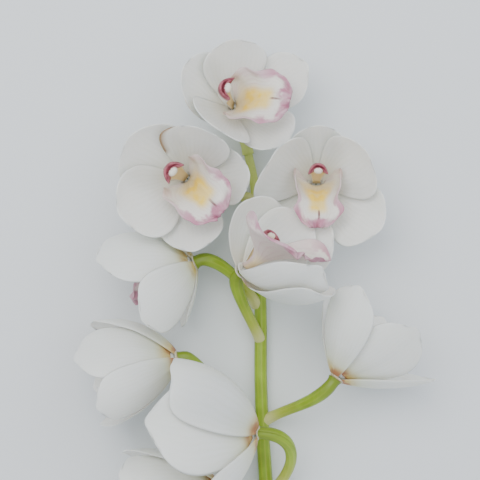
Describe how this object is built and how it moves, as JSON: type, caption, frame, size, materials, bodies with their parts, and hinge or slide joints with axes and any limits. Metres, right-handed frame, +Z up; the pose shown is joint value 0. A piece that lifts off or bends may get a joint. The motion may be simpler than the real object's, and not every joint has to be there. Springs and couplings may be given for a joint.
{
  "type": "cymbidium orchid stem",
  "caption": "Cut flowering stem of a white cymbidium orchid lying on its back, with open and half-open cupped blooms on short curved stalks.",
  "frame": {"origin": "middle of the footprint, on the surface that the stem lies on", "axes": "+Y along the stem from the cut end to the top bloom, +Z up from the surface, +X to the side"},
  "size_m": [0.2546, 0.46, 0.1182],
  "materials": {
    "stem_green": "smooth green skin of the stem",
    "stalk_green": "smooth yellow-green skin of the stalks",
    "petal_white": "satin white with a faint green tint and fine veins",
    "lip_cream": "cream with a yellow throat and a dusty pink margin",
    "column_rose": "satin, cream above and dark rose below"
  },
  "bodies": {
    "root": {"stem": "stem_green", "stalk_top": "stalk_green", "sepals_top": "petal_white", "petals_top": "petal_white", "lip_top": "lip_cream", "column_top": "column_rose", "stalk_upper_left": "stalk_green", "sepals_upper_left": "petal_white", "petals_upper_left": "petal_white", "lip_upper_left": "lip_cream", "column_upper_left": "column_rose", "stalk_upper_right": "stalk_green", "sepals_upper_right": "petal_white", "petals_upper_right": "petal_white", "lip_upper_right": "lip_cream", "column_upper_right": "column_rose", "stalk_middle": "stalk_green", "sepals_middle": "petal_white", "petals_middle": "petal_white", "lip_middle": "lip_cream", "column_middle": "column_rose", "stalk_left": "stalk_green", "sepals_left": "petal_white", "petals_left": "petal_white", "lip_left": "lip_cream", "column_left": "column_rose", "stalk_lower_left": "stalk_green", "sepals_lower_left": "petal_white", "petals_lower_left": "petal_white", "lip_lower_left": "lip_cream", "column_lower_left": "column_rose", "stalk_lowest": "stalk_green", "sepals_lowest": "petal_white", "petals_lowest": "petal_white", "lip_lowest": "lip_cream", "column_lowest": "column_rose", "stalk_right": "stalk_green", "sepals_right": "petal_white", "petals_right": "petal_white", "lip_right": "lip_cream", "column_right": "column_rose", "stalk_hidden": "stalk_green", "sepals_hidden": "petal_white", "petals_hidden": "petal_white", "lip_hidden": "lip_cream", "column_hidden": "column_rose"}
  },
  "joints": []
}
